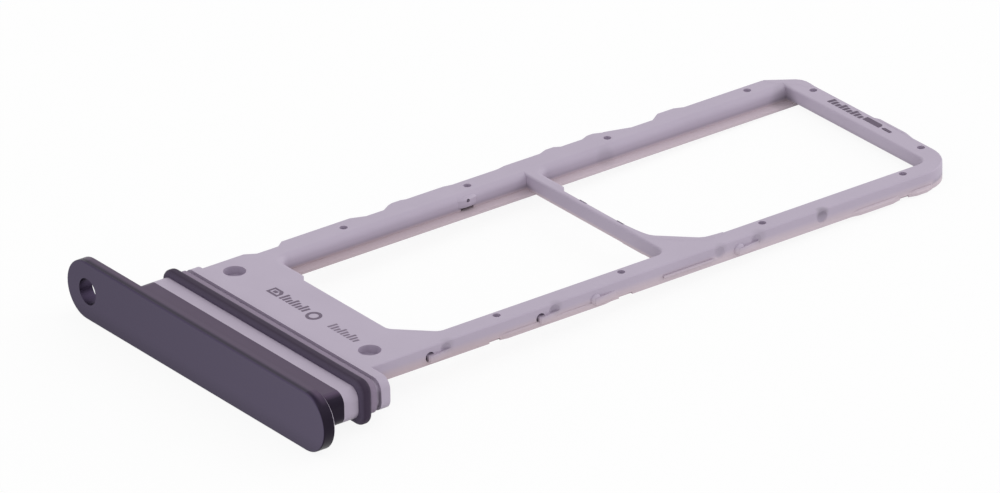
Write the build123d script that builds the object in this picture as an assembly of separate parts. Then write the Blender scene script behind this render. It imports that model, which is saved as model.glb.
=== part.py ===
from build123d import *
import os

os.makedirs("parts", exist_ok=True)

# Dual card tray of a phone, in millimetres.
# X runs from the outside of the phone inwards, Y along the head plate with the pin hole
# at the +Y end, and Z up. The origin lies under the middle of the tray, level with the
# lower edge of the cap.

# Cap: a thin pill-shaped plate that closes the slot in the phone's side
cap_length = 16.80
cap_height = 2.44
cap_thickness = 0.545
cap_front_round = 0.06
cap_rear_bevel = 0.06
pin_hole_diameter = 1.10
pin_hole_from_end = 1.375
pin_guide_diameter = 1.90
pin_guide_depth = 0.06
cap_neck_depth = 1.145
tongue_length = 9.60
tongue_height = 0.50
tongue_depth = 1.50

# Neck: the bar behind the cap that fills the slot and carries the seal
neck_length = 12.70
neck_height = 1.38
neck_corner = 0.48
neck_offset = -1.03
collar_depth = 0.66
gap_depth = 0.22
gap_sink = 0.15
flange_depth = 0.42

# Seal: a rubber ring with a rounded ridge and a thin skirt, stretched into its seat
seat_sink = 0.28
ridge_width = 0.54
ridge_rise = 0.25
ridge_end_rise = 0.16
ridge_offset = -0.06
ridge_round = 0.22
ridge_corner = 0.50
skirt_width = 0.32
skirt_rise = 0.02

# Tray: two card pockets in one thin frame
tray_thickness = 0.76
tray_offset = -0.85
card_width = 8.80
pocket_depth = 0.64
card_clearance = 0.05
first_pocket_length = 12.32
second_pocket_length = 12.685
first_corner_cut = 1.40
second_corner_cut = 1.62
near_pocket_corner = 0.45
far_pocket_corner = 0.40
cut_corner_round = 0.50
pocket_step = 0.36
pocket_step_length = 1.58
pocket_step_ramp = 0.50
far_rim_round = 0.30
rim_round = 0.08
outer_rim_round = 0.07
ledge_width = 0.44
head_plate_depth = 2.47
cross_bar_width = 0.265
cross_bar_relief = 0.14
end_bar_width = 0.90
end_bar_relief = 0.21
near_rail_width = 0.88
far_rail_width = 1.20
far_corner_cut_x = 1.25
far_corner_cut_y = 1.27
end_recess_start = 20.50
end_recess_sink = 0.17
end_recess_slope = 0.40
far_corner_round = 0.45
near_corner_round = 1.60
lead_in_depth = 0.40
lead_in_height = 0.60

# Small moulded features of the tray
plate_dimple_diameter = 0.90
plate_dimple_sink = 0.35
plate_dimple_from_pocket = 1.65
plate_dimple_spacing = 8.75
plate_dimple_offset = 0.25
mark_diameter = 0.32
mark_sink = 0.16
near_mark_from_wall = 0.32
far_mark_from_wall = 0.64
end_mark_from_edge = 0.32
nub_length = 1.10
nub_height = 0.28
nub_rise = 0.12
nub_flat = 0.24
nub_from_bottom = 0.26
nub_slot_radius = 0.21
nub_slot_above = 0.06
hollow_from_top = 0.32
detent_radius = 1.10
detent_rise = 0.09
detent_gap = 0.14
detent_from_top = 0.10
detent_slit_length = 0.62
detent_slit_sink = 0.35
detent_dot_diameter = 0.15
detent_dot_sink = 0.20
detent_dot_from_top = 0.24
bar_slot_width = 0.09
bar_slot_length = 0.42
bar_slot_sink = 0.18
side_rib_height = 0.10
side_rib_rise = 0.07
side_rib_from_bottom = 0.22
notch_sink = 0.10

# Stations along X, from the front of the cap to the end of the tray
overall_length = (
    cap_thickness + cap_neck_depth + collar_depth + ridge_width + skirt_width + gap_depth
    + flange_depth + head_plate_depth + first_pocket_length + cross_bar_width
    + second_pocket_length + end_bar_width
)
cap_front = -overall_length / 2
cap_rear = cap_front + cap_thickness
collar_front = cap_rear + cap_neck_depth
ridge_front = collar_front + collar_depth
skirt_front = ridge_front + ridge_width
gap_front = skirt_front + skirt_width
flange_front = gap_front + gap_depth
plate_front = flange_front + flange_depth
first_pocket = plate_front + head_plate_depth
cross_bar = first_pocket + first_pocket_length
second_pocket = cross_bar + cross_bar_width
end_bar = second_pocket + second_pocket_length
tray_end = end_bar + end_bar_width

# Levels and sides
neck_middle = cap_height / 2
tray_top = neck_middle + neck_height / 2
tray_bottom = tray_top - tray_thickness
ledge_top = tray_top - pocket_depth
pocket_width = card_width + 2 * card_clearance
near_wall = tray_offset - pocket_width / 2
far_wall = tray_offset + pocket_width / 2
near_side = near_wall - near_rail_width
far_side = far_wall + far_rail_width

# Shallow recesses in the outer edge of the far rail: start after the first pocket's edge,
# length, depth, and the length of the slope at each end
far_recesses = [
    (-0.50, 1.80, 0.27, 0.45, 0.35),
    (4.60, 1.85, 0.24, 0.60, 0.40),
    (9.10, 3.00, 0.08, 0.40, 0.40),
    (17.05, 2.65, 0.34, 1.10, 0.50),
]
# Low pads on the same edge: start, length, rise and slope
far_pads = [
    (6.45, 0.85, 0.07, 0.20, 0.20),
    (13.85, 1.05, 0.15, 0.40, 0.25),
    (15.95, 1.00, 0.15, 0.35, 0.35),
]

# Small features, each placed from the first pocket's edge
mark_places = [3.90, 9.90, 16.80, 23.80]
# Nubs, each with the depth of its slot
nub_places = [(0.20, 0.20), (5.48, 0.20), (8.10, 0.05), (15.10, 0.10)]
notch_places = [(3.12, 0.78), (9.35, 0.65), (23.20, 0.50)]
detent_place = 9.40
side_rib_start = 11.50
side_rib_length = 2.40
# Shallow round hollows above the nubs, each with its radius and depth
hollow_places = [
    (1.05, 0.42, 0.09),
    (6.24, 0.42, 0.09),
    (14.25, 0.45, 0.08),
    (16.05, 0.45, 0.08),
    (19.32, 0.30, 0.14),
]
# Slots in the far edge of the cross bar, from the middle of the tray
bar_slots = [1.10, -1.28]
end_marks = [3.45, -3.35]


def section_plane(start, offset):
    """The plane across X at start, centred on offset in Y and on the cap's middle height."""
    return Plane((start, offset, neck_middle), x_dir=(0, 1, 0), z_dir=(1, 0, 0))


def pill(length, height, depth, start):
    """A bar of pill-shaped section along X, centred on the cap."""
    return extrude(section_plane(start, 0) * SlotOverall(length, height), depth)


def round_bar(length, height, corner, depth, start, offset):
    """A bar of round-cornered section along X."""
    return extrude(section_plane(start, offset) * RectangleRounded(length, height, corner), depth)


def neck_bar(depth, start, rise, corner):
    """A stretch of the neck's round-cornered bar, risen above the neck or sunk into it."""
    return round_bar(
        neck_length + 2 * rise, neck_height + 2 * rise, corner, depth, start, neck_offset
    )


def plan(points, bottom, top):
    """A plate whose plan is the closed outline through the points."""
    outline = make_face(Polyline(*points, close=True))
    return Pos(0, 0, bottom) * extrude(outline, top - bottom)


def upright_edges(solid):
    """The edges of a plate that stand upright."""
    return solid.edges().filter_by(Axis.Z)


def make_cap():
    """Anodised cap: plate, neck, pin hole and the tongue that the tray is moulded round."""
    plate = pill(cap_length, cap_height, cap_thickness, cap_front)
    plate = fillet(plate.faces().sort_by(Axis.X)[0].edges(), cap_front_round)
    plate = chamfer(plate.faces().sort_by(Axis.X)[-1].edges(), cap_rear_bevel)
    neck = neck_bar(cap_neck_depth, cap_rear, 0, neck_corner)
    tongue = Pos(collar_front, neck_offset, neck_middle) * Box(
        tongue_depth, tongue_length, tongue_height, align=(Align.MIN, Align.CENTER, Align.CENTER)
    )
    hole_place = Pos(cap_front, cap_length / 2 - pin_hole_from_end, neck_middle) * Rot(0, 90, 0)
    guide_reach = cap_thickness + pin_guide_depth
    guide = hole_place * Cylinder(
        pin_guide_diameter / 2, guide_reach, align=(Align.CENTER, Align.CENTER, Align.MIN)
    )
    guide -= pill(cap_length, cap_height, cap_thickness / 2, cap_front)
    hole = hole_place * Cylinder(
        pin_hole_diameter / 2, guide_reach, align=(Align.CENTER, Align.CENTER, Align.MIN)
    )
    return plate + neck + tongue + guide - hole


def far_edge():
    """Outer edge of the far rail, from the head to the end, with its recesses and pads."""
    points = [(plate_front, far_side)]
    steps = [(s, n, -d, a, b) for s, n, d, a, b in far_recesses] + far_pads
    for start, length, shift, rise, fall in sorted(steps):
        begin = first_pocket + start
        points.append((begin, far_side))
        points.append((begin + rise, far_side + shift))
        points.append((begin + length - fall, far_side + shift))
        points.append((begin + length, far_side))
    recess_start = first_pocket + end_recess_start
    recess_side = far_side - end_recess_sink
    points.append((recess_start, far_side))
    points.append((recess_start + end_recess_slope, recess_side))
    points.append((tray_end - far_corner_cut_x, recess_side))
    points.append((tray_end, recess_side - far_corner_cut_y))
    return points


def lead_in():
    """The slope under the tray's inner end, as the wedge that it takes away."""
    profile = Plane((0, near_side, 0), x_dir=(1, 0, 0), z_dir=(0, -1, 0)) * make_face(Polyline(
        (tray_end - lead_in_depth, tray_bottom),
        (tray_end, tray_bottom),
        (tray_end, tray_bottom + lead_in_height),
        close=True,
    ))
    return extrude(profile, near_side - far_side)


def tray_blank():
    """Solid plate of the whole tray, before the pockets are taken out."""
    points = far_edge()
    points.append((tray_end, near_side))
    points.append((plate_front, near_side))
    blank = plan(points, tray_bottom, tray_top)
    end_edges = upright_edges(blank).filter_by(
        lambda edge: edge.center().X > tray_end - far_corner_cut_x - far_corner_round
    )
    blank = fillet(end_edges.filter_by(lambda edge: edge.center().Y > tray_offset), far_corner_round)
    near_edge = upright_edges(blank).filter_by(
        lambda edge: edge.center().X > end_bar and edge.center().Y < tray_offset
    )
    blank = fillet(near_edge, near_corner_round)
    rim = blank.faces().sort_by(Axis.Z)[-1].edges().filter_by(
        lambda edge: edge.center().X > plate_front + outer_rim_round
    )
    return fillet(rim, outer_rim_round) - lead_in()


def bar_relief(start, end, height):
    """The room under a bar between the ledges: the bar is less deep than the rails."""
    return Pos(start, tray_offset, tray_bottom) * Box(
        end - start, pocket_width - 2 * ledge_width, height,
        align=(Align.MIN, Align.CENTER, Align.MIN),
    )


def pocket_plate(start, length, cut, inset, bottom, top):
    """A plate with the plan of a card pocket: one cut corner, and a step by the far rail."""
    low = near_wall + inset
    high = far_wall - inset
    cut_start = near_wall + cut
    step_end = far_wall - pocket_step_length
    plate = plan([
        (start, cut_start),
        (start + cut_start - low, low),
        (start + length, low),
        (start + length, high),
        (start + pocket_step, high),
        (start + pocket_step, step_end),
        (start, step_end - pocket_step_ramp),
    ], bottom, top)
    for x, y, radius in (
        (start, cut_start, cut_corner_round),
        (start + cut_start - low, low, cut_corner_round),
        (start + length, low, near_pocket_corner),
        (start + pocket_step, high, far_pocket_corner),
    ):
        corner = upright_edges(plate).sort_by_distance((x, y, (bottom + top) / 2))[0]
        plate = fillet(corner, radius)
    return plate


def pocket(start, length, cut):
    """Room for a card, and the open window between the ledges that carry it."""
    recess = pocket_plate(start, length, cut, 0, ledge_top, tray_top)
    window = pocket_plate(start, length, cut, ledge_width, tray_bottom, ledge_top)
    return recess + window


def rounded_rims(tray, start, length):
    """The tray with the upper edges of a pocket rounded, most of all that of the far wall."""
    for x, y, radius in (
        (start + length / 2, far_wall, far_rim_round),
        (start + length, tray_offset, rim_round),
    ):
        edge = tray.edges().sort_by_distance((x, y, tray_top))[0]
        tray = fillet(edge, radius)
    return tray


def small_dimple(x, y, diameter, sink):
    """A flat-bottomed round dimple in the top of the tray."""
    return Pos(x, y, tray_top) * Cylinder(
        diameter / 2, sink, align=(Align.CENTER, Align.CENTER, Align.MAX)
    )


def dimples():
    """The two large dimples of the head plate and the ejector marks round the frame."""
    tools = []
    for side in (-1, 1):
        y = tray_offset + plate_dimple_offset + side * plate_dimple_spacing / 2
        x = first_pocket - plate_dimple_from_pocket
        tools.append(small_dimple(x, y, plate_dimple_diameter, plate_dimple_sink))
    for place in mark_places:
        x = first_pocket + place
        near = near_wall - near_mark_from_wall
        far = far_wall + far_mark_from_wall
        tools.append(small_dimple(x, near, mark_diameter, mark_sink))
        tools.append(small_dimple(x, far, mark_diameter, mark_sink))
    for y in end_marks:
        x = tray_end - end_mark_from_edge
        tools.append(small_dimple(x, tray_offset + y, mark_diameter, mark_sink))
    return tools


def side_cuts():
    """Round hollows, lower notches and nub slots in the outer side of the near rail."""
    tools = []
    for place, radius, sink in hollow_places:
        middle = Pos(first_pocket + place, near_side + sink - radius, tray_top - hollow_from_top)
        tools.append(middle * Sphere(radius))
    for place, sink in nub_places:
        level = tray_bottom + nub_from_bottom + nub_slot_above
        middle = Pos(first_pocket + place + nub_slot_radius / 2, near_side, level)
        tools.append(middle * Rot(90, 0, 0) * Cylinder(nub_slot_radius, 2 * sink))
    for place, length in notch_places:
        corner = Pos(first_pocket + place, near_side, tray_bottom)
        tools.append(corner * Box(
            length, 2 * notch_sink, notch_sink, align=(Align.MIN, Align.CENTER, Align.MIN)
        ))
    return tools


def side_nubs():
    """Ramped nubs and the thin rib on the outer side of the near rail."""
    added = []
    for place, sink in nub_places:
        start = first_pocket + place
        bottom = tray_bottom + nub_from_bottom - nub_height / 2
        added.append(plan([
            (start, near_side + sink),
            (start, near_side - nub_rise / 2),
            (start + nub_rise / 2, near_side - nub_rise),
            (start + nub_flat, near_side - nub_rise),
            (start + nub_length, near_side),
            (start + nub_length, near_side + sink),
        ], bottom, bottom + nub_height))
    rib = Pos(first_pocket + side_rib_start, near_side, tray_bottom + side_rib_from_bottom) * Box(
        side_rib_length, side_rib_rise, side_rib_height, align=(Align.MIN, Align.MAX, Align.MIN)
    )
    added.append(rib)
    return added


def detent():
    """Low curved pad on the far wall that holds the card, clear of the ledge below it."""
    height = pocket_depth - detent_gap - detent_from_top
    foot = Pos(first_pocket + detent_place, far_wall + detent_radius - detent_rise, ledge_top + detent_gap)
    pad = Cylinder(detent_radius, height, align=(Align.CENTER, Align.CENTER, Align.MIN))
    upper_edge = pad.edges().filter_by(GeomType.CIRCLE).sort_by(Axis.Z)[-1]
    return foot * chamfer(upper_edge, detent_rise)


def detent_slit():
    """The slit under the pad, which lets it give way to the card."""
    return Pos(first_pocket + detent_place, far_wall, ledge_top) * Box(
        detent_slit_length, 2 * detent_slit_sink, detent_gap,
        align=(Align.CENTER, Align.CENTER, Align.MIN),
    )


def detent_dot():
    """The small blind hole in the face of the pad."""
    place = Pos(first_pocket + detent_place, far_wall - detent_rise, tray_top - detent_dot_from_top)
    return place * Rot(90, 0, 0) * Cylinder(detent_dot_diameter / 2, 2 * detent_dot_sink)


def bar_slot(offset):
    """A short slot along the far edge of the cross bar's top."""
    return Pos(second_pocket, tray_offset + offset, tray_top) * Box(
        2 * bar_slot_width, bar_slot_length, 2 * bar_slot_sink
    )


def make_tray():
    """Moulded tray: neck bar with its seal seat, head plate, rails, bars and ledges."""
    tray = tray_blank()
    neck_depth = plate_front - collar_front
    tray += neck_bar(neck_depth, collar_front, 0, neck_corner)
    tray -= bar_relief(cross_bar, second_pocket + pocket_step, cross_bar_relief)
    tray -= bar_relief(end_bar, tray_end, end_bar_relief)
    for start, length, cut in (
        (first_pocket, first_pocket_length, first_corner_cut),
        (second_pocket, second_pocket_length, second_corner_cut),
    ):
        tray -= pocket(start, length, cut)
        tray = rounded_rims(tray, start, length)
    far_part = Pos(detent_place + first_pocket, far_wall - detent_rise, ledge_top) * Box(
        2 * detent_radius, far_rail_width, tray_thickness, align=(Align.CENTER, Align.MIN, Align.MIN)
    )
    tray += detent() & far_part
    tray -= detent_slit()
    tray -= detent_dot()
    for offset in bar_slots:
        tray -= bar_slot(offset)
    seat_depth = ridge_width + skirt_width
    for start, depth, sink in (
        (ridge_front, seat_depth, seat_sink),
        (gap_front, gap_depth, gap_sink),
    ):
        core = neck_bar(depth, start, -sink, neck_corner - sink)
        tray -= neck_bar(depth, start, sink, neck_corner) - core
    for tool in dimples() + side_cuts():
        tray -= tool
    for nub in side_nubs():
        tray += nub
    socket = Pos(collar_front, neck_offset, neck_middle) * Box(
        tongue_depth, tongue_length, tongue_height, align=(Align.MIN, Align.CENTER, Align.CENTER)
    )
    return tray - socket


def make_seal():
    """Seal ring: rounded ridge and thin skirt round the seat."""
    ridge = round_bar(
        neck_length + 2 * ridge_end_rise, neck_height + 2 * ridge_rise, ridge_corner,
        ridge_width, ridge_front, neck_offset + ridge_offset,
    )
    ends = ridge.faces().sort_by(Axis.X)[0].edges() + ridge.faces().sort_by(Axis.X)[-1].edges()
    ridge = fillet(ends, ridge_round)
    skirt = neck_bar(skirt_width, skirt_front, skirt_rise, neck_corner)
    bore = neck_bar(ridge_width + skirt_width, ridge_front, -seat_sink, neck_corner - seat_sink)
    return ridge + skirt - bore


export_step(make_cap(), "parts/head_cap.step")
export_step(make_tray(), "parts/tray_frame.step")
export_step(make_seal(), "parts/seal_ring.step")
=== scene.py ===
import math

import bmesh
import bpy
from mathutils import Matrix, Vector


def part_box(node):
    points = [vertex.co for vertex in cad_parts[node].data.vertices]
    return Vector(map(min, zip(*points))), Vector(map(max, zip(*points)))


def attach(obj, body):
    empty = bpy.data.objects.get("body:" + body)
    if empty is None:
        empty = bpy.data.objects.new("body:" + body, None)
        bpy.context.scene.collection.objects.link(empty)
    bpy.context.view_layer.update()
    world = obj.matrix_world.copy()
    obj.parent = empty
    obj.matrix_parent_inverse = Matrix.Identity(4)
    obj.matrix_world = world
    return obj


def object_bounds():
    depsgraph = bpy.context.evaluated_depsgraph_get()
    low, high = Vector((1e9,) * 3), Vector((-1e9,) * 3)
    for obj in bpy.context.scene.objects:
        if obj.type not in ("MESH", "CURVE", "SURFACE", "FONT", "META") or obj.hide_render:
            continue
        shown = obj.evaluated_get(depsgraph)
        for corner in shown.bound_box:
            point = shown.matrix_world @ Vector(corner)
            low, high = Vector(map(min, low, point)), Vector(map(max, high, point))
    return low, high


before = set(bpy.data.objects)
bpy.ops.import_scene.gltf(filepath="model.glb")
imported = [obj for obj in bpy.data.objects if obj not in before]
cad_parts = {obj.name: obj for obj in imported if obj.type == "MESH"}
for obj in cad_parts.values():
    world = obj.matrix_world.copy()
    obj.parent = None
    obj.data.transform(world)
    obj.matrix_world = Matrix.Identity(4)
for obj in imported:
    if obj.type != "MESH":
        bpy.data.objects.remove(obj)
cad_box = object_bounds()

# Head cap: the metal plate that closes the slot in the phone's side, with the eject pin
# hole at one end and a solid neck behind it. Milled from aluminium in one piece, bead
# blasted, then anodised and dyed a dark grey lilac.
mm = 0.001
cap_low, cap_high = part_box("head_cap")
# The near face, edge, end and glint colours below are painted light and shade.
cap_face_hex = "4B4258"
cap_near_face_light_hex = "564D63"
cap_edge_shade_hex = "2B2136"
cap_rim_hex = "584A5F"
cap_end_shade_hex = "2A2430"
cap_bore_hex = "483E54"
cap_painted_glint_hex = "D8D0DE"
cap_edge_width = 0.30 * mm
cap_shade_reach = 0.8 * mm
cap_shade_depth = 0.55
shade_rays = 8
end_turn_start = 0.30
end_turn_full = 0.70
glint_slant_low = 0.55
glint_slant_high = 0.90
pin_hole_axis = Vector((0, 7.025, 1.22)) * mm
pin_hole_radius = 0.55 * mm
surface_margin = 0.01 * mm
blast_grain = 0.09 * mm
blast_depth = 0.0012 * mm


def linear(hex_colour):
    """The linear colour, with full alpha, of an sRGB hex value."""
    channels = [int(hex_colour[i:i + 2], 16) / 255 for i in (0, 2, 4)]
    low = [c / 12.92 for c in channels]
    high = [((c + 0.055) / 1.055) ** 2.4 for c in channels]
    return [a if c <= 0.04045 else b for c, a, b in zip(channels, low, high)] + [1.0]


def add_node(tree, kind, settings=None, inputs=None):
    """A new node with its settings and inputs.

    An input is given a value, a socket to link, or a node, whose first output is linked.
    """
    node = tree.nodes.new(kind)
    for name, value in (settings or {}).items():
        setattr(node, name, value)
    for name, value in (inputs or {}).items():
        if isinstance(value, bpy.types.Node):
            value = value.outputs[0]
        if isinstance(value, bpy.types.NodeSocket):
            tree.links.new(value, node.inputs[name])
        else:
            node.inputs[name].default_value = value
    return node


def new_material(name):
    """A new material with an empty node tree, and that tree."""
    material = bpy.data.materials.new(name)
    material.use_nodes = True
    material.node_tree.nodes.clear()
    return material, material.node_tree


def grain(tree, size, detail=3.0):
    """Fine noise on Object coordinates, with grains of the given size in metres."""
    place = add_node(tree, "ShaderNodeTexCoord")
    return add_node(tree, "ShaderNodeTexNoise", inputs={
        "Vector": place.outputs["Object"], "Scale": 1 / size, "Detail": detail,
    })


def grain_bump(tree, size, depth):
    """A surface roughened by grains of the given size and depth in metres."""
    return add_node(tree, "ShaderNodeBump", inputs={
        "Height": grain(tree, size), "Strength": 1.0, "Distance": depth,
    })


def share_along(tree, axis, low, high):
    """A share that runs from 0 to 1 between two places along an axis."""
    place = add_node(tree, "ShaderNodeTexCoord")
    parts = add_node(tree, "ShaderNodeSeparateXYZ", inputs={"Vector": place.outputs["Object"]})
    return add_node(tree, "ShaderNodeMapRange", inputs={
        "Value": parts.outputs[axis], "From Min": low, "From Max": high,
    })


def layered(tree, colour, layers):
    """A colour under layers, each with the share that it covers and its sRGB hex value."""
    for share, hex_colour in layers:
        layer = add_node(tree, "ShaderNodeMix", {"data_type": "RGBA"}, {
            0: share, 6: colour, 7: linear(hex_colour),
        })
        colour = layer.outputs[2]
    return colour


def darkened(tree, colour, loss):
    """The colour with a share of its light lost."""
    left = add_node(tree, "ShaderNodeMath", {"operation": "SUBTRACT"}, {0: 1.0, 1: loss})
    return add_node(tree, "ShaderNodeVectorMath", {"operation": "SCALE"}, {
        0: colour, "Scale": left,
    })


def in_crevices(tree, colour, reach, depth):
    """The colour, darker by painted shade of up to the given share where other surfaces close
    it in.
    """
    around = add_node(tree, "ShaderNodeAmbientOcclusion", {"samples": shade_rays}, {
        "Distance": reach,
    })
    closed = add_node(tree, "ShaderNodeMath", {"operation": "SUBTRACT"}, {
        0: 1.0, 1: around.outputs["AO"],
    })
    loss = add_node(tree, "ShaderNodeMath", {"operation": "MULTIPLY"}, {0: closed, 1: depth})
    return darkened(tree, colour, loss)


def dress(node_name, material):
    """Gives every material slot of a frame piece its finished material."""
    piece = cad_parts[node_name]
    for slot in piece.material_slots:
        slot.material = material


# Anodised aluminium, bead blasted: a soft satin sheen with a barely visible grain, drawn a
# little coarser than the real one so that it shows at all. Light and shade are painted into
# the colour: painted light makes the near end a little paler, painted shade darkens the
# front edge, the round ends and the crevices, and a painted glint lies on the round ends'
# rear bevels.
anodised, tree = new_material("anodised_aluminium_bead_blasted")
near_light_share = share_along(tree, "Y", cap_high.y, cap_low.y)
edge_start = cap_low.x + surface_margin
edge_shade_share = share_along(tree, "X", edge_start, edge_start + cap_edge_width / 4)
rim_share = share_along(
    tree, "X", edge_start + cap_edge_width / 2, edge_start + cap_edge_width)
facing = add_node(tree, "ShaderNodeNewGeometry")
facing_parts = add_node(tree, "ShaderNodeSeparateXYZ", inputs={
    "Vector": facing.outputs["Normal"],
})
sideways = add_node(tree, "ShaderNodeMath", {"operation": "ABSOLUTE"}, {
    0: facing_parts.outputs["Y"],
})
end_shade_share = add_node(tree, "ShaderNodeMapRange", inputs={
    "Value": sideways, "From Min": end_turn_start, "From Max": end_turn_full,
})
place = add_node(tree, "ShaderNodeTexCoord")
across = add_node(tree, "ShaderNodeVectorMath", {"operation": "MULTIPLY"}, {
    0: place.outputs["Object"], 1: (0, 1, 1),
})
from_axis = add_node(tree, "ShaderNodeVectorMath", {"operation": "DISTANCE"}, {
    0: across, 1: pin_hole_axis,
})
bore_share = add_node(tree, "ShaderNodeMath", {"operation": "LESS_THAN"}, {
    0: from_axis.outputs["Value"], 1: pin_hole_radius + surface_margin,
})
# Painted light and shade: paler towards the near end, darker along the front edge and on the
# round ends.
dye_and_painted_light = layered(tree, linear(cap_face_hex), [
    (near_light_share, cap_near_face_light_hex),
    (edge_shade_share, cap_edge_shade_hex),
    (rim_share, cap_rim_hex),
    (end_shade_share, cap_end_shade_hex),
    (bore_share, cap_bore_hex),
])
# Painted shade in the crevices.
dye_and_painted_light = in_crevices(tree, dye_and_painted_light, cap_shade_reach, cap_shade_depth)
# A painted glint on the rear bevels of the round ends.
backwards = add_node(tree, "ShaderNodeMath", {"operation": "GREATER_THAN"}, {
    0: facing_parts.outputs["X"], 1: glint_slant_low,
})
slanting = add_node(tree, "ShaderNodeMath", {"operation": "LESS_THAN"}, {
    0: facing_parts.outputs["X"], 1: glint_slant_high,
})
rear_bevel = add_node(tree, "ShaderNodeMath", {"operation": "MULTIPLY"}, {
    0: backwards, 1: slanting,
})
painted_glint_share = add_node(tree, "ShaderNodeMath", {"operation": "MULTIPLY"}, {
    0: rear_bevel, 1: end_shade_share,
})
satin = add_node(tree, "ShaderNodeBsdfPrincipled", inputs={
    "Base Color": layered(tree, dye_and_painted_light, [(painted_glint_share, cap_painted_glint_hex)]),
    "Metallic": 1.0,
    "Roughness": 0.42,
    "Normal": grain_bump(tree, blast_grain, blast_depth),
})
add_node(tree, "ShaderNodeOutputMaterial", inputs={"Surface": satin})
dress("head_cap", anodised)

# Tray frame: neck, head plate, rails and bars of glass-filled nylon, in one thin moulding
# round the cap's tongue. Its foot is painted paler and pinkish, as painted light thrown up
# from the white floor. Points and places here and below are in millimetres, unless they
# are multiplied by mm.
tray_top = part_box("tray_frame")[1].z
near_side = -6.18
far_wall = 3.60
plate_front = -12.395 * mm
plate_front_fade = 0.02 * mm
tray_hex = "B5A9BC"
tray_cloud_hex = "ADA1B4"
cloud_size = 2.2 * mm
cloud_detail = 2.0
# The two foot colours are painted light from the floor.
tray_foot_light_hex = "CBBBC5"
tray_head_foot_light_hex = "BBA9B1"
head_foot_end = -8 * mm
tray_foot_start = 6 * mm
tray_foot_top = 1.30 * mm
tray_foot_fade = 0.10 * mm
side_foot_top = 1.38 * mm
side_foot_fade = 0.22 * mm
side_foot_share = 0.75
side_skin = 0.02
side_skin_fade = 0.04
tray_shade_reach = 0.9 * mm
tray_shade_depth = 0.54
seal_gap_shade = 0.25
foot_shade_loss = 0.7
shade_start = 0.36 * mm
shade_full = 0.52 * mm
# Spots of painted shade at notches, hollows and a corner.
shade_spots = [  # x, y, z and radius, and the share of light that is lost
    (-8.785, near_side, 1.71, 0.36, 0.12),
    (-3.605, near_side, 1.71, 0.36, 0.14),
    (4.375, near_side, 1.69, 0.36, 0.12),
    (6.275, near_side, 1.69, 0.40, 0.12),
    (9.415, near_side, 1.76, 0.34, 0.34),
    (6.27, far_wall, 1.50, 0.50, 0.10),
    (15.20, far_wall, 1.25, 0.80, 0.24),
]
erosion_grain = 0.12 * mm
erosion_depth = 0.0020 * mm

# Glass-filled nylon, moulded in a finely eroded tool: pale grey lilac, matt with a faint
# sheen, and slightly cloudy where the fibres flowed. The tool's real grain is too fine to
# show, so it is drawn coarser.
nylon, tree = new_material("moulded_glass_filled_nylon")
colour = layered(tree, linear(tray_cloud_hex), [
    (grain(tree, cloud_size, cloud_detail), tray_hex),
])

# Painted light from the white floor below: a paler, pinkish foot, which begins behind the
# seal and reaches higher on the near side.
behind_seal = share_along(tree, "X", plate_front, plate_front + plate_front_fade)
foot = share_along(tree, "Z", tray_foot_top + tray_foot_fade, tray_foot_top)
side_foot = share_along(tree, "Z", side_foot_top + side_foot_fade, side_foot_top)
outer = share_along(
    tree, "Y", (near_side + side_skin + side_skin_fade) * mm, (near_side + side_skin) * mm)
outer_share = add_node(tree, "ShaderNodeMath", {"operation": "MULTIPLY"}, {
    0: outer, 1: side_foot_share,
})
side_share = add_node(tree, "ShaderNodeMath", {"operation": "MULTIPLY"}, {
    0: side_foot, 1: outer_share,
})
either_foot = add_node(tree, "ShaderNodeMath", {"operation": "MAXIMUM"}, {
    0: foot, 1: side_share,
})
foot_light_share = add_node(tree, "ShaderNodeMath", {"operation": "MULTIPLY"}, {
    0: behind_seal, 1: either_foot,
})
to_end = share_along(tree, "X", head_foot_end, tray_foot_start)
foot_lit = add_node(tree, "ShaderNodeMix", {"data_type": "RGBA"}, {
    0: foot_light_share, 6: colour,
    7: layered(tree, linear(tray_head_foot_light_hex), [(to_end, tray_foot_light_hex)]),
})

# Shade low in the pockets, and a little beside the seal, but less on the bright foot.
deep = share_along(tree, "Z", tray_top - shade_start, tray_top - shade_full)
beside_seal = add_node(tree, "ShaderNodeMath", {"operation": "SUBTRACT"}, {
    0: 1.0, 1: behind_seal,
})
at_seal = add_node(tree, "ShaderNodeMath", {"operation": "MULTIPLY"}, {
    0: beside_seal, 1: seal_gap_shade,
})
shaded = add_node(tree, "ShaderNodeMath", {"operation": "MAXIMUM"}, {0: deep, 1: at_seal})
foot_loss = add_node(tree, "ShaderNodeMath", {"operation": "MULTIPLY"}, {
    0: foot_light_share, 1: foot_shade_loss,
})
foot_left = add_node(tree, "ShaderNodeMath", {"operation": "SUBTRACT"}, {
    0: 1.0, 1: foot_loss,
})
shade_share = add_node(tree, "ShaderNodeMath", {"operation": "MULTIPLY"}, {
    0: shaded, 1: foot_left,
})
shade_depth = add_node(tree, "ShaderNodeMath", {"operation": "MULTIPLY"}, {
    0: shade_share, 1: tray_shade_depth,
})
colour = in_crevices(tree, foot_lit.outputs[2], tray_shade_reach, shade_depth)

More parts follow.
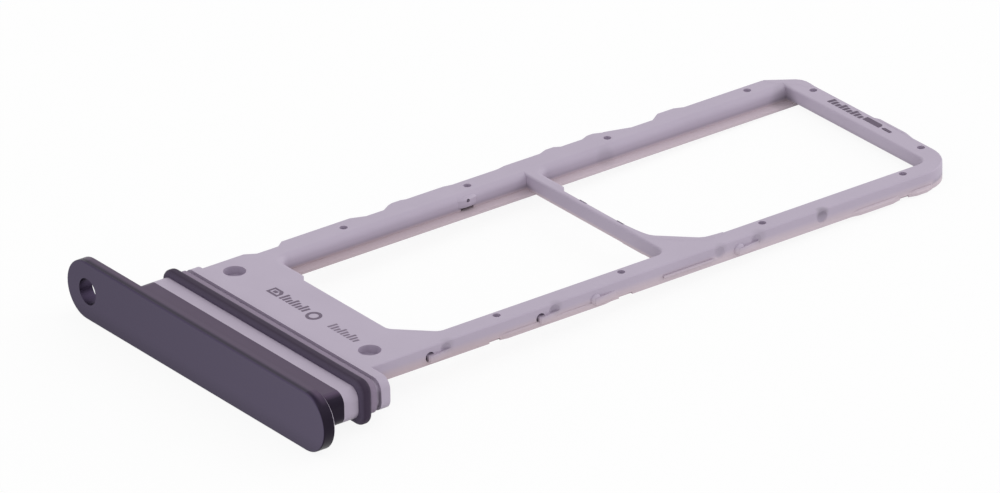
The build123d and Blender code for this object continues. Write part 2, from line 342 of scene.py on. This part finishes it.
# Painted shade: soft darker spots at notches and hollows on the near side, on the far
# wall, and deepest in the far corner of the second pocket.
place = add_node(tree, "ShaderNodeTexCoord")
spot_shade_loss = 0.0
for x, y, z, radius, loss in shade_spots:
    away = add_node(tree, "ShaderNodeVectorMath", {"operation": "DISTANCE"}, {
        0: place.outputs["Object"], 1: Vector((x, y, z)) * mm,
    })
    share = add_node(tree, "ShaderNodeMapRange", inputs={
        "Value": away.outputs["Value"],
        "From Min": radius * mm, "From Max": radius * mm / 2, "To Max": loss,
    })
    spot_shade_loss = add_node(tree, "ShaderNodeMath", {"operation": "MAXIMUM"}, {
        0: share, 1: spot_shade_loss,
    })
matt_nylon = add_node(tree, "ShaderNodeBsdfPrincipled", inputs={
    "Base Color": darkened(tree, colour, spot_shade_loss),
    "Roughness": 0.48,
    "IOR": 1.53,
    "Normal": grain_bump(tree, erosion_grain, erosion_depth),
})
add_node(tree, "ShaderNodeOutputMaterial", inputs={"Surface": matt_nylon})
dress("tray_frame", nylon)

# Reliefs of the tray: low lips along the foot of the near rail, a pad on the inner end and
# one on the far corner, two bosses on the near side, and the foot and the fuller corner of
# the cross bar. Same nylon, in one moulding with the frame.
tray_bottom = 1.15 * mm
tray_end = 16.245 * mm
relief_root = 0.05 * mm
relief_top = 1.912
lips = [(-6.30, -0.945, 0.06), (10.90, 13.205, 0.08), (13.70, 14.90, 0.11)]
lip_height = 0.22 * mm
lip_ramp = 0.35 * mm
pad_rise = 0.11 * mm
pad_sink = 0.02 * mm
pad_profile = [
    (-0.15, 1.80), (-0.15, relief_top), (-0.07, relief_top), (-0.02, 1.89), (0.0, 1.84),
    (0.0, 1.80),
]
pad_stations = [(-0.85, 0.0), (-1.12, 1.0), (-2.75, 1.0), (-3.45, 0.0)]
lead_in_start = 15.845 * mm
lead_in_slope = 1.5
corner_outline = [
    (15.00, 4.62), (16.05, 3.87), (16.20, 3.68), (16.262, 3.45), (16.262, 3.20), (16.24, 2.95),
]
corner_root = [(15.90, 2.95), (15.85, 3.30), (14.95, 4.30)]
corner_levels = [(0.0, 1.84), (0.042, relief_top)]
bosses = [(-1.70, 1.46, 0.24), (5.30, 1.46, 0.25)]
boss_rise = 0.11
boss_shares = (0.0, 0.35, 0.65, 0.85, 0.98)
circle_points = 24
gusset_edge = [
    (2.65, -2.40), (2.70, -2.95), (2.76, -3.38), (2.83, -3.66), (2.96, -3.87), (3.27, -4.17),
    (3.93, -4.82), (4.20, -5.08), (4.42, -5.19), (4.75, -5.24), (5.20, -5.28),
]
gusset_root = [
    (5.20, -5.45), (4.30, -5.45), (3.45, -4.80), (2.75, -4.05), (2.50, -3.70), (2.50, -2.40),
]
gusset_levels = [(0.0, tray_bottom / mm), (0.0, 1.86), (0.03, relief_top)]
bar_foot = [
    (2.41, 1.33), (2.41, 1.24), (2.44, 1.215), (2.60, 1.215), (2.64, 1.24), (2.64, 1.33),
]
bar_foot_ends = (-4.70, 3.00)


def skin(shape, rings, capped=True):
    """Adds to a shape the closed skin over rings of points, capped or joined end to end."""
    loops = [[shape.verts.new(point) for point in ring] for ring in rings]
    pairs = list(zip(loops, loops[1:]))
    if capped:
        shape.faces.new(loops[0])
        shape.faces.new(loops[-1])
    else:
        pairs.append((loops[-1], loops[0]))
    for first, second in pairs:
        for i in range(len(first)):
            j = (i + 1) % len(first)
            shape.faces.new((first[i], first[j], second[j], second[i]))


def circle(radius):
    """Points on a circle."""
    turn = 2 * math.pi / circle_points
    return [
        (radius * math.cos(i * turn), radius * math.sin(i * turn)) for i in range(circle_points)
    ]


def lead_in_level(x):
    """Height of the slope under the inner end at a place along X."""
    return tray_bottom + max(0.0, x - lead_in_start) * lead_in_slope


def finished_mesh(name, shape):
    """The mesh of a shape, with its faces turned outwards."""
    bmesh.ops.recalc_face_normals(shape, faces=shape.faces)
    mesh = bpy.data.meshes.new(name)
    shape.to_mesh(mesh)
    shape.free()
    return mesh


def tray_piece(name, mesh):
    """Makes a mesh a piece of the tray."""
    piece = bpy.data.objects.new(name, mesh)
    bpy.context.scene.collection.objects.link(piece)
    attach(piece, "root")


def moulded(name, shape, material):
    """Makes a shape a piece of the tray, of the given material."""
    mesh = finished_mesh(name, shape)
    mesh.materials.append(material)
    tray_piece(name, mesh)


# Each lip has a start and an end along X, and the distance by which it stands out.
shape = bmesh.new()
side = near_side * mm
root = side + relief_root
for start, end, rise in lips:
    stations = (
        (start * mm, 0.0), (start * mm + lip_ramp, rise * mm),
        (end * mm - lip_ramp, rise * mm), (end * mm, 0.0),
    )
    skin(shape, [[
        (x, root, tray_bottom), (x, side - out, tray_bottom),
        (x, side - out, tray_bottom + lip_height - rise * mm),
        (x, side - out / 4, tray_bottom + lip_height), (x, root, tray_bottom + lip_height),
    ] for x, out in stations])
moulded("foot_lips", shape, nylon)

# The end pad swells from nothing at its two ends, where it starts just under the surface.
shape = bmesh.new()
skin(shape, [[
    (tray_end + x * mm + full * pad_rise - (1 - full) * pad_sink, y * mm, z * mm)
    for x, z in pad_profile
] for y, full in pad_stations])
moulded("end_pad", shape, nylon)

# The corner pad stands on the slope under the inner end and is drawn in towards its top.
shape = bmesh.new()
rings = [[(x * mm, y * mm, lead_in_level(x * mm)) for x, y in corner_outline + corner_root]]
for draw, level in corner_levels:
    outline = [(x - draw, y - draw) for x, y in corner_outline]
    rings.append([(x * mm, y * mm, level * mm) for x, y in outline + corner_root])
skin(shape, rings)
moulded("far_corner_pad", shape, nylon)

# Each boss is a low dome, given by its place along X, its height and its radius.
shape = bmesh.new()
for x, z, radius in bosses:
    dome = [[
        ((x + u) * mm, (near_side - boss_rise * share) * mm, (z + v) * mm)
        for u, v in circle(radius * math.sqrt(1 - share ** 2))
    ] for share in boss_shares]
    skin(shape, [[(x, root, z) for x, y, z in dome[0]]] + dome)
moulded("side_bosses", shape, nylon)

# The cross bar's fuller corner, drawn in towards its top, and the foot under the bar.
shape = bmesh.new()
skin(shape, [
    [((x - draw) * mm, (y - draw) * mm, z * mm) for x, y in gusset_edge + gusset_root]
    for draw, z in gusset_levels
])
skin(shape, [[(x * mm, y * mm, z * mm) for x, z in bar_foot] for y in bar_foot_ends])
moulded("cross_bar_reliefs", shape, nylon)

# Marks on the tray: a card sign, a ring, rows of short bars and two plain bars, drawn as
# thin pieces hardly proud of the surface and painted dark as the shade in engraved marks.
# The floors put into the cross bar's two slots are painted shade in the same tone.
# Mark colours: painted shade.
mark_shade_hex = "74667A"
faint_mark_shade_hex = "8E8193"
deep_mark_shade_hex = "5E5164"
mark_speck_grain = 0.10 * mm
mark_root = 0.03 * mm
mark_rise = 0.010 * mm
card_sign_place = (-11.64, 1.62)
card_sign_size = (0.66, 0.46, 0.15)  # length, height and cut of the corner
card_sign_line = 0.09
card_chip = [(0.20, 0.16), (0.40, 0.16), (0.40, 0.30), (0.20, 0.30)]
cut_shift = 0.4
ring_place = (-11.50, -1.28)
ring_radii = (0.33, 0.20)  # outer and inner
long_bar_place = (15.76, -0.72)
long_bar_size = (1.02, 0.28, 0.10)  # length, height and cut of the corner
blunt_bar_place = (15.78, -1.84)
blunt_bar = [(0.0, 0.06), (0.12, 0.0), (0.56, 0.0), (0.56, 0.14), (0.12, 0.16)]
slot_middles = (0.25, -2.13)
slot_half = 0.225
slot_floor_reach = (2.55, 2.65)  # front and rear
slot_floor_levels = (1.70, 1.90)  # underside and top


def painted_shade_nylon(name, hex_colour):
    """Nylon with painted shade: matt, in the given colour, with coarse darker specks."""
    material, tree = new_material(name)
    mark_surface = add_node(tree, "ShaderNodeBsdfPrincipled", inputs={
        "Base Color": layered(tree, linear(hex_colour), [
            (grain(tree, mark_speck_grain), deep_mark_shade_hex),
        ]),
        "Roughness": 0.7,
        "IOR": 1.53,
    })
    add_node(tree, "ShaderNodeOutputMaterial", inputs={"Surface": mark_surface})
    return material


shaded_marks = painted_shade_nylon("nylon_in_painted_mark_shade", mark_shade_hex)
deeply_shaded_marks = painted_shade_nylon("nylon_in_deep_painted_mark_shade", deep_mark_shade_hex)
faint = painted_shade_nylon("nylon_in_light_painted_mark_shade", faint_mark_shade_hex)


def on_top(points, place, level):
    """Points of a flat mark, read along -Y with its head towards +X, set on the tray."""
    x, y = place
    return [(x * mm + v * mm, y * mm - u * mm, level) for u, v in points]


def flat_mark(shape, points, place):
    """A filled mark."""
    skin(shape, [on_top(points, place, tray_top + d) for d in (-mark_root, mark_rise)])


def line_mark(shape, outer, inner, place):
    """A mark drawn as a line, between an outer and an inner outline of as many points."""
    low, high = tray_top - mark_root, tray_top + mark_rise
    skin(shape, [
        on_top(outer, place, low), on_top(outer, place, high),
        on_top(inner, place, high), on_top(inner, place, low),
    ], capped=False)


def card_outline(length, height, cut, inset=0):
    """The outline of a card with one cut corner, drawn in by an inset."""
    low, right, top = inset, length - inset, height - inset
    bend = cut + cut_shift * inset
    return [(low, low), (right, low), (right, top - bend), (right - bend, top), (low, top)]


shape = bmesh.new()
line_mark(
    shape, card_outline(*card_sign_size), card_outline(*card_sign_size, card_sign_line),
    card_sign_place)
flat_mark(shape, card_chip, card_sign_place)
line_mark(shape, *[circle(radius) for radius in ring_radii], ring_place)
moulded("head_signs", shape, shaded_marks)

shape = bmesh.new()
flat_mark(shape, card_outline(*long_bar_size), long_bar_place)
flat_mark(shape, blunt_bar, blunt_bar_place)
moulded("end_signs", shape, deeply_shaded_marks)

# Dark floors in the two slots of the cross bar: painted shade.
shape = bmesh.new()
front, rear = slot_floor_reach
for middle in slot_middles:
    near, far = middle - slot_half, middle + slot_half
    skin(shape, [[
        (x * mm, y * mm, z * mm)
        for x, y in ((front, near), (rear, near), (rear, far), (front, far))
    ] for z in slot_floor_levels])
moulded("bar_slot_painted_shade", shape, shaded_marks)

# Rows of short bars by Geometry Nodes: one leaning bar on each point of a line, every
# third one shorter. The tree takes the bar, how many there are, their step and material.
group_of_bars = 3
short_bar = 0.62
bar_lean = 0.03
bar_rows = bpy.data.node_groups.new("bar_row", "GeometryNodeTree")
face = bar_rows.interface
face.new_socket("Bar", in_out="INPUT", socket_type="NodeSocketGeometry")
count_input = face.new_socket("Count", in_out="INPUT", socket_type="NodeSocketInt")
step_input = face.new_socket("Step", in_out="INPUT", socket_type="NodeSocketVector")
mark_material_input = face.new_socket("Material", in_out="INPUT", socket_type="NodeSocketMaterial")
face.new_socket("Row", in_out="OUTPUT", socket_type="NodeSocketGeometry")
given = add_node(bar_rows, "NodeGroupInput")
line = add_node(bar_rows, "GeometryNodeMeshLine", inputs={
    "Count": given.outputs["Count"], "Offset": given.outputs["Step"],
})
number = add_node(bar_rows, "GeometryNodeInputIndex")
in_group = add_node(bar_rows, "ShaderNodeMath", {"operation": "MODULO"}, {
    0: number, 1: group_of_bars,
})
height = add_node(bar_rows, "ShaderNodeMapRange", inputs={
    "Value": in_group, "From Max": group_of_bars - 1, "To Min": 1.0, "To Max": short_bar,
})
stretch = add_node(bar_rows, "ShaderNodeCombineXYZ", inputs={"X": height, "Y": 1.0, "Z": 1.0})
placed = add_node(bar_rows, "GeometryNodeInstanceOnPoints", inputs={
    "Points": line, "Instance": given.outputs["Bar"], "Scale": stretch,
})
real = add_node(bar_rows, "GeometryNodeRealizeInstances", inputs={"Geometry": placed})
with_material = add_node(bar_rows, "GeometryNodeSetMaterial", inputs={
    "Geometry": real, "Material": given.outputs["Material"],
})
add_node(bar_rows, "NodeGroupOutput", inputs={"Row": with_material})


def bar_row(name, place, length, width, count, step, material):
    """A row of short bars on the tray's top, from a place on towards -Y."""
    shape = bmesh.new()
    bar = [(0, 0), (width, 0), (width + bar_lean, length), (bar_lean, length)]
    skin(shape, [on_top(bar, (0, 0), d) for d in (-mark_root, mark_rise)])
    maker = bpy.data.objects.new(name + "_maker", finished_mesh(name, shape))
    bpy.context.scene.collection.objects.link(maker)
    modifier = maker.modifiers.new("row", "NODES")
    modifier.node_group = bar_rows
    modifier[count_input.identifier] = count
    modifier[step_input.identifier] = (0.0, -step * mm, 0.0)
    modifier[mark_material_input.identifier] = material
    bpy.context.view_layer.update()
    evaluated = maker.evaluated_get(bpy.context.evaluated_depsgraph_get())
    row_mesh = bpy.data.meshes.new_from_object(evaluated)
    maker.modifiers.clear()
    bpy.data.objects.remove(maker)
    x, y = place
    row_mesh.transform(Matrix.Translation((x * mm, y * mm, tray_top)))
    tray_piece(name, row_mesh)


bar_row(
    "head_bars", (-11.63, 0.82), length=0.46, width=0.11, count=8, step=0.205, material=shaded_marks)
bar_row(
    "faint_head_bars", (-11.64, -2.34), length=0.42, width=0.10, count=9, step=0.20,
    material=faint)
bar_row(
    "end_bars", (15.70, 1.44), length=0.36, width=0.16, count=9, step=0.235,
    material=deeply_shaded_marks)

# Seal ring: a soft ring in the seat round the neck, with a rounded ridge that wipes the
# slot and a thin skirt behind it. Silicone rubber, moulded in one piece and stretched over
# the flange into its seat.
seal_low, seal_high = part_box("seal_ring")
# The front colour is painted light.
seal_front_light_hex = "594F64"
ridge_hex = "372B3F"
skirt_hex = "8B7D91"
ridge_front_depth = 0.14 * mm
skirt_depth = 0.32 * mm
skirt_fade = 0.10 * mm
talc_grain = 0.15 * mm
talc_depth = 0.0015 * mm

# Silicone rubber, moulded: dark grey and satin, with painted light that makes its front a
# little paler, and with the bloom of the talc on it, drawn coarser than it is. The skirt is
# so thin that the pale tray shows through it.
silicone, tree = new_material("moulded_silicone_rubber")
# Painted light: the front of the ridge a little paler.
lit_front_share = share_along(tree, "X", seal_low.x, seal_low.x + ridge_front_depth)
skirt_start = seal_high.x - skirt_depth
skirt_share = share_along(tree, "X", skirt_start - skirt_fade, skirt_start + skirt_fade)
rubber = add_node(tree, "ShaderNodeBsdfPrincipled", inputs={
    "Base Color": layered(tree, linear(seal_front_light_hex), [
        (lit_front_share, ridge_hex),
        (skirt_share, skirt_hex),
    ]),
    "Roughness": 0.6,
    "IOR": 1.43,
    "Specular IOR Level": 0.25,
    "Normal": grain_bump(tree, talc_grain, talc_depth),
})
add_node(tree, "ShaderNodeOutputMaterial", inputs={"Surface": rubber})
dress("seal_ring", silicone)

# Floor: a plain pale sheet under the tray, tipped by two degrees so that it touches the
# cap's lower edge and the underside of the inner end, on which the tray lies.
floor_half = 0.6
cap_thickness = 0.605 * mm
floor_white_hex = "F8F8F8"
floor_glow_share = 0.90


def seen_directly(tree):
    """1 where the camera sees a surface, straight, in a reflection or through glass."""
    path = add_node(tree, "ShaderNodeLightPath")
    mirrored = add_node(tree, "ShaderNodeMath", {"operation": "MAXIMUM"}, {
        0: path.outputs["Is Camera Ray"], 1: path.outputs["Is Glossy Ray"],
    })
    return add_node(tree, "ShaderNodeMath", {"operation": "MAXIMUM"}, {
        0: mirrored, 1: path.outputs["Is Transmission Ray"],
    })


# White backdrop paper: matt and even, and nearly as white as the tent round it, with only
# a faint shadow under the tray.
paper, tree = new_material("white_backdrop_paper")
glow = add_node(tree, "ShaderNodeEmission", inputs={"Color": (1, 1, 1, 1), "Strength": 1.0})
matt = add_node(tree, "ShaderNodeBsdfDiffuse", inputs={"Color": linear(floor_white_hex)})
glow_share = add_node(tree, "ShaderNodeMath", {"operation": "MULTIPLY"}, {
    0: seen_directly(tree), 1: floor_glow_share,
})
backdrop = add_node(tree, "ShaderNodeMixShader", inputs={"Fac": glow_share, 1: matt, 2: glow})
add_node(tree, "ShaderNodeOutputMaterial", inputs={"Surface": backdrop})

cap_back = cap_low.x + cap_thickness
slope = tray_bottom / (lead_in_start - cap_back)
floor_mesh = bpy.data.meshes.new("floor")
floor_mesh.from_pydata(
    [(x, y, (x - cap_back) * slope) for x, y in (
        (-floor_half, -floor_half), (floor_half, -floor_half),
        (floor_half, floor_half), (-floor_half, floor_half),
    )],
    [], [(0, 1, 2, 3)],
)
floor_mesh.materials.append(paper)
floor = bpy.data.objects.new("floor", floor_mesh)
bpy.context.scene.collection.objects.link(floor)

# Studio light: a white tent of even light and a broad soft box on the right of the camera,
# beyond the inner end. The tent is pure white where the camera sees it, in the metal too.
tent_light = 0.88
box_size = 0.30
box_power = 0.34
box_place = Vector((0.34, -0.08, 0.18))

world = bpy.data.worlds.new("studio")
world.use_nodes = True
world.node_tree.nodes.clear()
tree = world.node_tree
tent_strength = add_node(tree, "ShaderNodeMapRange", inputs={
    "Value": seen_directly(tree), "To Min": tent_light, "To Max": 1.0,
})
tent = add_node(tree, "ShaderNodeBackground", inputs={
    "Color": (1, 1, 1, 1), "Strength": tent_strength,
})
add_node(tree, "ShaderNodeOutputWorld", inputs={"Surface": tent})
bpy.context.scene.world = world

middle = (cad_box[0] + cad_box[1]) / 2
box_lamp = bpy.data.lights.new("right_box", "AREA")
box_lamp.size = box_size
box_lamp.energy = box_power
box = bpy.data.objects.new("right_box", box_lamp)
box.location = middle + box_place
box.rotation_mode = "QUATERNION"
box.rotation_quaternion = (middle - box.location).to_track_quat("-Z", "Y")
bpy.context.scene.collection.objects.link(box)

# Camera: a long lens on the near side of the cap, looking down along the tray at the
# photograph's angle, from far enough away that the tray narrows only a little.
camera_azimuth = math.radians(-36.6)
camera_elevation = math.radians(25.95)
camera_roll = math.radians(-1.0)
camera_distance = 440.3 * mm
camera_aim = Vector((-4.496, -3.854, 3.691)) * mm

outwards = math.cos(camera_elevation)
back = Vector((
    math.sin(camera_azimuth) * outwards, -math.cos(camera_azimuth) * outwards,
    math.sin(camera_elevation),
))
right = Vector((math.cos(camera_azimuth), math.sin(camera_azimuth), 0))
upright = Matrix((right, back.cross(right), back)).transposed()
turned = upright @ Matrix.Rotation(camera_roll, 3, "Z")
camera_data = bpy.data.cameras.new("camera")
camera_data.lens = 414.0
camera_data.clip_start = 0.05
camera_data.clip_end = 5.0
camera = bpy.data.objects.new("camera", camera_data)
camera.matrix_world = Matrix.Translation(camera_aim + back * camera_distance) @ turned.to_4x4()
bpy.context.scene.collection.objects.link(camera)
bpy.context.scene.camera = camera
bpy.context.scene.view_settings.view_transform = "Standard"
